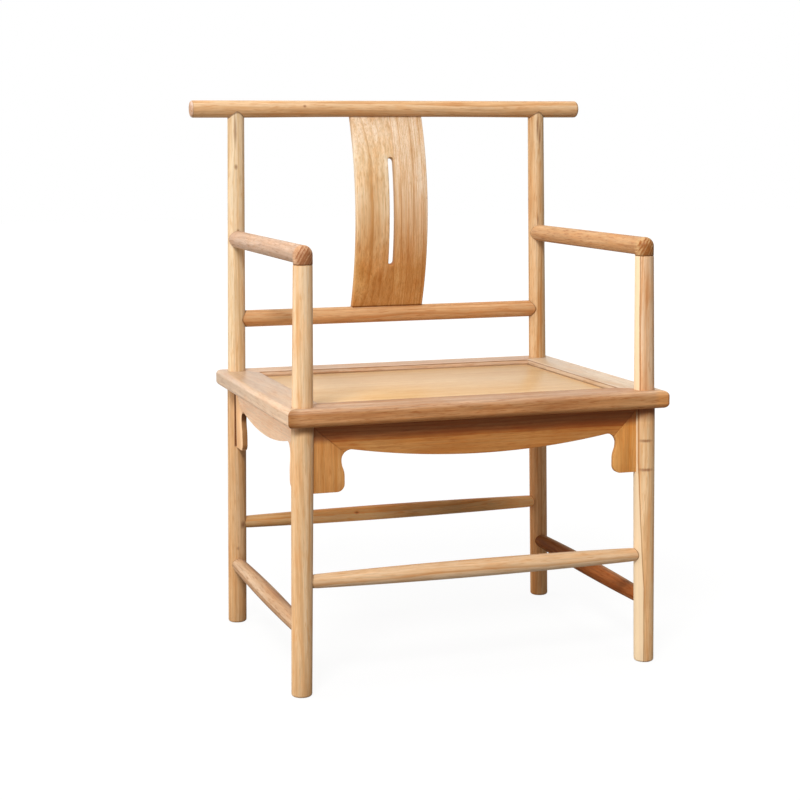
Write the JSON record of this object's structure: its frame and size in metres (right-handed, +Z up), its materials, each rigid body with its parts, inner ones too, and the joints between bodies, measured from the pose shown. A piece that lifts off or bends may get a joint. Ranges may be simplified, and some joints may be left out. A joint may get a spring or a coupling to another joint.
{
  "type": "official hat chair",
  "caption": "Round-post armchair: crest rail running out past the posts, bowed slotted splat, elbow-ended arms, framed board seat with shaped aprons, barrel-shaped stretchers.",
  "frame": {"origin": "on the floor, at the middle of the chair in width and depth", "axes": "+Z up; the sitter faces -Y, so the crest rail and splat are on the +Y side; +X to the right as seen from the front"},
  "size_m": [0.684, 0.49, 0.879],
  "materials": {
    "post_wood": "bare smooth wood, faintly satin",
    "crest_wood": "bare smooth wood, faintly satin",
    "arm_wood": "bare smooth wood, faintly satin",
    "splat_wood": "bare smooth wood, faintly satin",
    "seat_front_wood": "bare smooth wood, faintly satin",
    "seat_side_wood": "bare smooth wood, faintly satin",
    "panel_wood": "bare smooth wood, faintly satin",
    "apron_wood": "bare smooth wood, faintly satin",
    "stretcher_wood": "bare smooth wood, faintly satin",
    "hidden_wood": "bare smooth wood, faintly satin"
  },
  "bodies": {
    "root": {"apron_front": "apron_wood", "apron_left": "apron_wood", "apron_rear": "hidden_wood", "apron_right": "apron_wood", "arm_left": "arm_wood", "arm_right": "arm_wood", "back_rail": "crest_wood", "crest_rail": "crest_wood", "front_post_left": "post_wood", "front_post_right": "post_wood", "rear_post_left": "post_wood", "rear_post_right": "post_wood", "seat_batten_left": "hidden_wood", "seat_batten_right": "hidden_wood", "seat_panel": "panel_wood", "seat_rail_front": "seat_front_wood", "seat_rail_left": "seat_side_wood", "seat_rail_rear": "seat_side_wood", "seat_rail_right": "seat_side_wood", "spandrel_front_left": "apron_wood", "spandrel_front_right": "apron_wood", "spandrel_left_front": "apron_wood", "spandrel_left_rear": "apron_wood", "spandrel_right_front": "apron_wood", "spandrel_right_rear": "apron_wood", "splat": "splat_wood", "stretcher_front": "stretcher_wood", "stretcher_left": "stretcher_wood", "stretcher_rear": "stretcher_wood", "stretcher_right": "stretcher_wood"}
  },
  "joints": []
}
